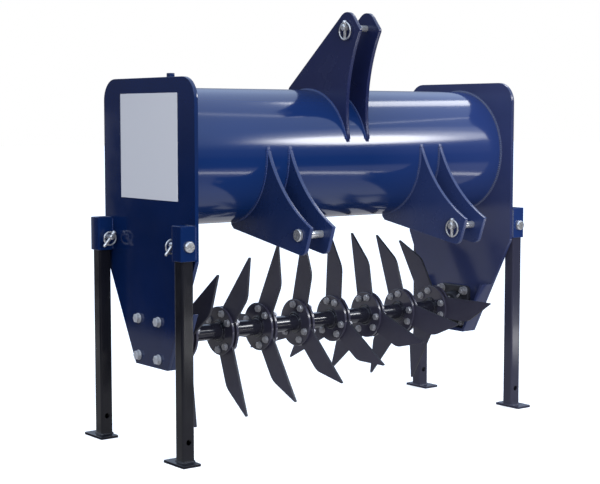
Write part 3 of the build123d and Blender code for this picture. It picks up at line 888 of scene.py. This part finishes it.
def welds():
    """Runs round the tube's ends and filler, along hitch plates, up sockets and inside the guards."""
    angle = np.linspace(0, 2 * math.pi, 240, endpoint=False)
    circle = np.stack([TUBE_Y + TUBE_R * np.cos(angle), TUBE_Z + TUBE_R * np.sin(angle)], -1)
    runs = [bead(in_plane(sx * PLATE_IN, circle), TUBE_WELD, True) for _, sx in SIDES]
    lower, upper = lower_plate_outline(), top_plate_outline()
    for side, _ in SIDES:
        for place in ("outer", "inner"):
            runs += lug_runs(f"lower_link_plate_{side}_{place}", lower)
    for side, _ in SIDES:
        runs += lug_runs(f"top_link_plate_{side}", upper)
    for side, sx in SIDES:
        for end, _ in ENDS:
            runs += socket_runs(sx, f"{end}_{side}")
        runs.append(bead(in_plane(sx * PLATE_IN, np.array(guard_inside(sx))), GUARD_WELD))
    low, high = extent("filler_boss")
    x, y = (low + high)[:2] / 2
    around = (high[0] - low[0]) / 2 * np.stack([np.cos(angle), np.sin(angle)])
    saddle = np.stack([x + around[0], y + around[1], TUBE_Z + np.sqrt(TUBE_R**2 - around[1]**2)], -1)
    runs.append(bead(saddle, BOSS_WELD, True))
    # the beads take the paler weld paint: painted highlight along the seams
    piece("weld_runs", runs, WELD_NAVY, "frame")


ballast_tube()
end_plates()
pins()
sockets_and_feet()
filler()
decal()
welds()
hitch_plates()
rotor_shaft()
knives()
bearings()

# the CAD nodes, among them the leg tubes that stay in view
# the navy and leg black paints bring their painted light towards +X onto these nodes as well
SLOT_PAINT = {"blue_paint": NAVY, "black_paint": LEG_BLACK, "knife_steel": SLATE, "zinc_plate": ZINC,
              "bearing_casting": CASTING}
for row in frame["record"]["subparts"]:
    mesh = frame["nodes"][row["node"]].data
    mesh.materials.clear()
    mesh.materials.append(SLOT_PAINT[row["material_slot"]])

# stage
FLOOR_REACH = 40.0
FLOOR_ROUGH = 0.7
FLOOR_GLOW = 0.4
# sky to ground as seen in the paint: (height of the direction from -1 to 1, colour)
SURROUND = [
    (-1.0, (0.36, 0.38, 0.44)),
    (-0.72, (0.48, 0.51, 0.60)),
    (-0.50, (0.24, 0.25, 0.31)),
    (-0.30, (0.30, 0.30, 0.36)),
    (-0.26, (0.02, 0.02, 0.03)),
    (-0.05, (0.02, 0.02, 0.03)),
    (0.01, (0.14, 0.13, 0.14)),
    (0.15, (0.20, 0.24, 0.32)),
    (0.30, (0.55, 0.66, 0.86)),
    (0.50, (0.85, 1.05, 1.40)),
    (1.0, (1.05, 1.25, 1.60)),
]
# nested ellipses that make the soft highlight along the tube: name, place, size, radiance
KEY_AIM = (0.18, -0.13, 0.92)
KEY_BOXES = (
    ("key_core", (1.98, -2.27, 1.92), (0.80, 0.62), 11.0),
    ("key_softbox", (1.99, -2.26, 1.92), (1.04, 0.68), 6.0),
    ("key_wing", (2.04, -2.22, 1.95), (1.40, 0.80), 2.2),
    ("key_halo", (2.18, -2.22, 2.12), (1.30, 0.95), 2.2),
    ("key_haze", (2.28, -2.16, 2.24), (1.65, 1.25), 1.0),
)


def camera():
    """The photograph's viewpoint: turned by the azimuth, then tipped down."""
    data = bpy.data.cameras.new("photo_camera")
    data.sensor_width = SENSOR
    data.lens = CAMERA_LENS
    obj = bpy.data.objects.new("photo_camera", data)
    obj.location = CAMERA_AT
    obj.rotation_euler = (math.radians(90 - CAMERA_DOWN), 0, math.radians(-CAMERA_AZIMUTH))
    bpy.context.scene.collection.objects.link(obj)
    bpy.context.scene.camera = obj


def floor():
    """A wide pale floor at ground level."""
    mat, tree, shader, coords = shader_of("pale_floor")
    tone = ramp(tree, noise(tree, coords, 1.5), [(0.3, grey(0.86)), (0.7, grey(0.90))])
    tree.links.new(tone, shader.inputs["Base Color"])
    shader.inputs["Roughness"].default_value = FLOOR_ROUGH
    shader.inputs["Emission Color"].default_value = (1, 1, 1, 1)
    shader.inputs["Emission Strength"].default_value = FLOOR_GLOW
    mesh = bpy.data.meshes.new("pale_floor")
    mesh.from_pydata([(a * FLOOR_REACH, b * FLOOR_REACH, 0) for a, b in CORNER_SIGNS], [], [(0, 1, 2, 3)])
    mesh.materials.append(mat)
    obj = bpy.data.objects.new("pale_floor", mesh)
    bpy.context.scene.collection.objects.link(obj)
    obj.visible_glossy = False
    obj.visible_diffuse = False


def studio_world():
    """Bluish light from above over a dark horizon and a grey ground; plain white straight to the camera."""
    world = bpy.data.worlds.new("studio")
    world.use_nodes = True
    tree = world.node_tree
    split = tree.nodes.new("ShaderNodeSeparateXYZ")
    tree.links.new(tree.nodes.new("ShaderNodeTexCoord").outputs["Generated"], split.inputs["Vector"])
    height = tree.nodes.new("ShaderNodeMapRange")
    height.inputs["From Min"].default_value = -1.0
    tree.links.new(split.outputs["Z"], height.inputs["Value"])
    surround = ramp(tree, height.outputs["Result"], [((z + 1) / 2, color) for z, color in SURROUND])
    mix = tree.nodes.new("ShaderNodeMixShader")
    lit, seen = tree.nodes["Background"], tree.nodes.new("ShaderNodeBackground")
    tree.links.new(surround, lit.inputs["Color"])
    seen.inputs["Color"].default_value = (1, 1, 1, 1)
    tree.links.new(tree.nodes.new("ShaderNodeLightPath").outputs["Is Camera Ray"], mix.inputs["Fac"])
    tree.links.new(lit.outputs["Background"], mix.inputs[1])
    tree.links.new(seen.outputs["Background"], mix.inputs[2])
    tree.links.new(mix.outputs["Shader"], tree.nodes["World Output"].inputs["Surface"])
    bpy.context.scene.world = world


def softbox(name, at, aim, size, radiance, shape="RECTANGLE", gloss=True, matt=True):
    """A soft light facing a point, for gloss, matt or both; its power is pi times its area and radiance."""
    data = bpy.data.lights.new(name, "AREA")
    data.shape = shape
    data.size, data.size_y = size
    area = size[0] * size[1] * (math.pi / 4 if shape == "ELLIPSE" else 1)
    data.energy = math.pi * area * radiance
    obj = bpy.data.objects.new(name, data)
    obj.location = at
    obj.rotation_euler = (Vector(aim) - Vector(at)).to_track_quat("-Z", "Y").to_euler()
    obj.visible_camera = False
    obj.visible_glossy = gloss
    obj.visible_diffuse = matt
    bpy.context.scene.collection.objects.link(obj)


bpy.context.scene.view_settings.view_transform = "Standard"
camera()
floor()
studio_world()
softbox("front_fill", (-0.75, -2.60, 1.00), (0.0, 0.0, 0.65), (1.2, 1.2), 15.0, gloss=False)
softbox("left_fill", (-3.20, -1.20, 2.20), (-0.65, 0.0, 0.70), (1.5, 1.5), 2.7)
for name, at, size, radiance in KEY_BOXES:
    softbox(name, at, KEY_AIM, size, radiance, "ELLIPSE", matt=False)
softbox("ceiling_strip_right", (2.24, 0.50, 3.16), (0.24, -0.06, 1.03), (0.55, 1.3), 5.5)
softbox("ceiling_streak", (2.38, -1.23, 3.02), (1.40, -0.48, 0.95), (0.90, 0.07), 3.0, matt=False)
softbox("ceiling_strip_left", (1.30, -0.74, 3.35), (-0.42, -0.10, 0.99), (0.14, 0.75), 2.2)
softbox("floor_strip", (1.0, -1.36, 0.05), (0.0, -0.13, 0.81), (1.6, 0.10), 5.0, matt=False)
softbox("wall_card", (-0.76, 1.50, 0.50), (-0.76, 0.0, 0.50), (1.12, 1.0), 0.46, matt=False)
softbox("floor_card_rear", (0.4, 3.0, 0.01), (0.4, 3.0, 1.0), (4.4, 5.2), 0.34, matt=False)
softbox("floor_card_front", (0.6, -1.0, 0.01), (0.6, -1.0, 1.0), (4.8, 2.8), 0.26, matt=False)
